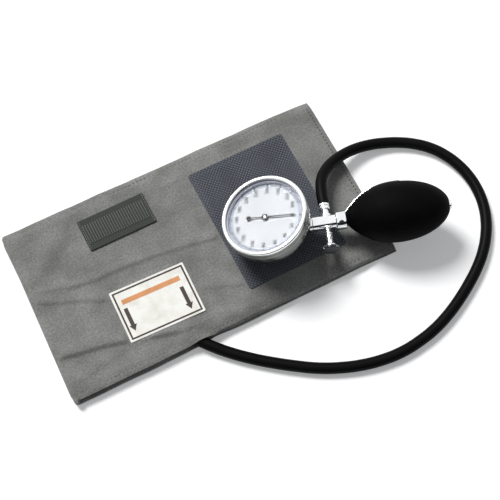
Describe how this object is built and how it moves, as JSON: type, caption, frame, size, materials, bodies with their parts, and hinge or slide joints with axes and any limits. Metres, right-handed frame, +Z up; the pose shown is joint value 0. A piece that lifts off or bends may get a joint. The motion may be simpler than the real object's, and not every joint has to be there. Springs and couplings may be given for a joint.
{
  "type": "aneroid sphygmomanometer",
  "caption": "Palm-type blood pressure gauge with a dial head, release valve, finger spoon and squeeze bulb, joined by a hose to a folded cloth arm cuff.",
  "frame": {"origin": "centre of the folded cuff's underside, which lies on the table", "axes": "+X along the folded cuff from its fold to its sewn end, +Y across the cuff, +Z up"},
  "size_m": [0.3437, 0.2177, 0.057],
  "materials": {
    "cloth": "plain-woven grey cotton",
    "patch": "fine napped fastener cloth",
    "strap": "ribbed webbing",
    "label": "white woven label",
    "rubber": "matt black rubber",
    "chrome": "polished chrome plate",
    "steel": "turned steel",
    "brass": "machined brass",
    "glass": "clear lens",
    "dial": "satin white enamel",
    "black": "satin black"
  },
  "bodies": {
    "cuff_and_handset": {"cuff_cover": "cloth", "bladder": "rubber", "hook_patch": "patch", "ribbed_strap": "strap", "label": "label", "hose": "rubber", "gauge_case": "chrome", "bezel_ring": "chrome", "lens": "glass", "lens_gasket": "rubber", "dial_plate": "dial", "dial_ring": "brass", "top_plate": "brass", "bottom_plate": "brass", "plate_pillars": "brass", "frame_posts": "brass", "pillar_screws": "steel", "hairspring": "brass", "capsule": "brass", "inlet_block": "brass", "neck_tube": "chrome", "hose_barb": "chrome", "valve_barrel": "chrome", "spoon_collar": "chrome", "collar_screw": "chrome", "finger_spoon": "chrome", "bulb": "rubber", "outlet_cage": "brass", "intake_body": "chrome", "intake_cap": "brass"},
    "pointer_spindle": {"pinion": "steel", "pointer": "black"},
    "sector": {"sector_gear": "brass"},
    "rocker": {"rocking_shaft": "steel"},
    "post": {"capsule_post": "brass"},
    "needle": {"valve_needle": "steel"},
    "knob": {"release_knob": "chrome"},
    "outlet_ball_body": {"outlet_ball": "steel"},
    "intake_ball_body": {"intake_ball": "steel"}
  },
  "joints": [
    {"name": "sector_swing", "type": "hinge", "parent": "cuff_and_handset", "child": "sector", "pos_m": [0.04422, -0.00137, 0.03811], "axis": [-0.2592, 0.1882, 0.9473], "range_deg": [0, 37.5]},
    {"name": "pointer_turn", "type": "hinge", "parent": "cuff_and_handset", "child": "pointer_spindle", "pos_m": [0.04636, -0.01878, 0.04215], "axis": [-0.2592, 0.1882, 0.9473], "range_deg": [-337.5, 0]},
    {"name": "rocker_swing", "type": "hinge", "parent": "cuff_and_handset", "child": "rocker", "pos_m": [0.04135, -0.0181, 0.02988], "axis": [0.3475, 0.9333, -0.0903], "range_deg": [-14.4, 0]},
    {"name": "post_lift", "type": "slide", "parent": "cuff_and_handset", "child": "post", "axis": [-0.2592, 0.1882, 0.9473], "range_m": [0, 0.00213], "deforming": ["capsule"]},
    {"name": "needle_travel", "type": "slide", "parent": "cuff_and_handset", "child": "needle", "axis": [-0.3475, -0.9333, 0.0903], "range_m": [0, 0.00112]},
    {"name": "knob_turn", "type": "hinge", "parent": "needle", "child": "knob", "pos_m": [0.0883, -0.036, 0.02556], "axis": [-0.3475, -0.9333, 0.0903], "range_deg": [0, 540]},
    {"name": "outlet_ball_lift", "type": "slide", "parent": "cuff_and_handset", "child": "outlet_ball_body", "axis": [0.9366, -0.3409, 0.0812], "range_m": [0, 0.0008]},
    {"name": "intake_ball_lift", "type": "slide", "parent": "cuff_and_handset", "child": "intake_ball_body", "axis": [0.9366, -0.3409, 0.0812], "range_m": [0, 0.0008]}
  ],
  "couplings": [
    {"joint": "sector_swing", "follows": "post_lift", "rad_per_m": 307.18},
    {"joint": "pointer_turn", "follows": "post_lift", "rad_per_m": -2764.6},
    {"joint": "rocker_swing", "follows": "post_lift", "rad_per_m": -117.96},
    {"joint": "knob_turn", "follows": "needle_travel", "rad_per_m": 8377.6}
  ]
}
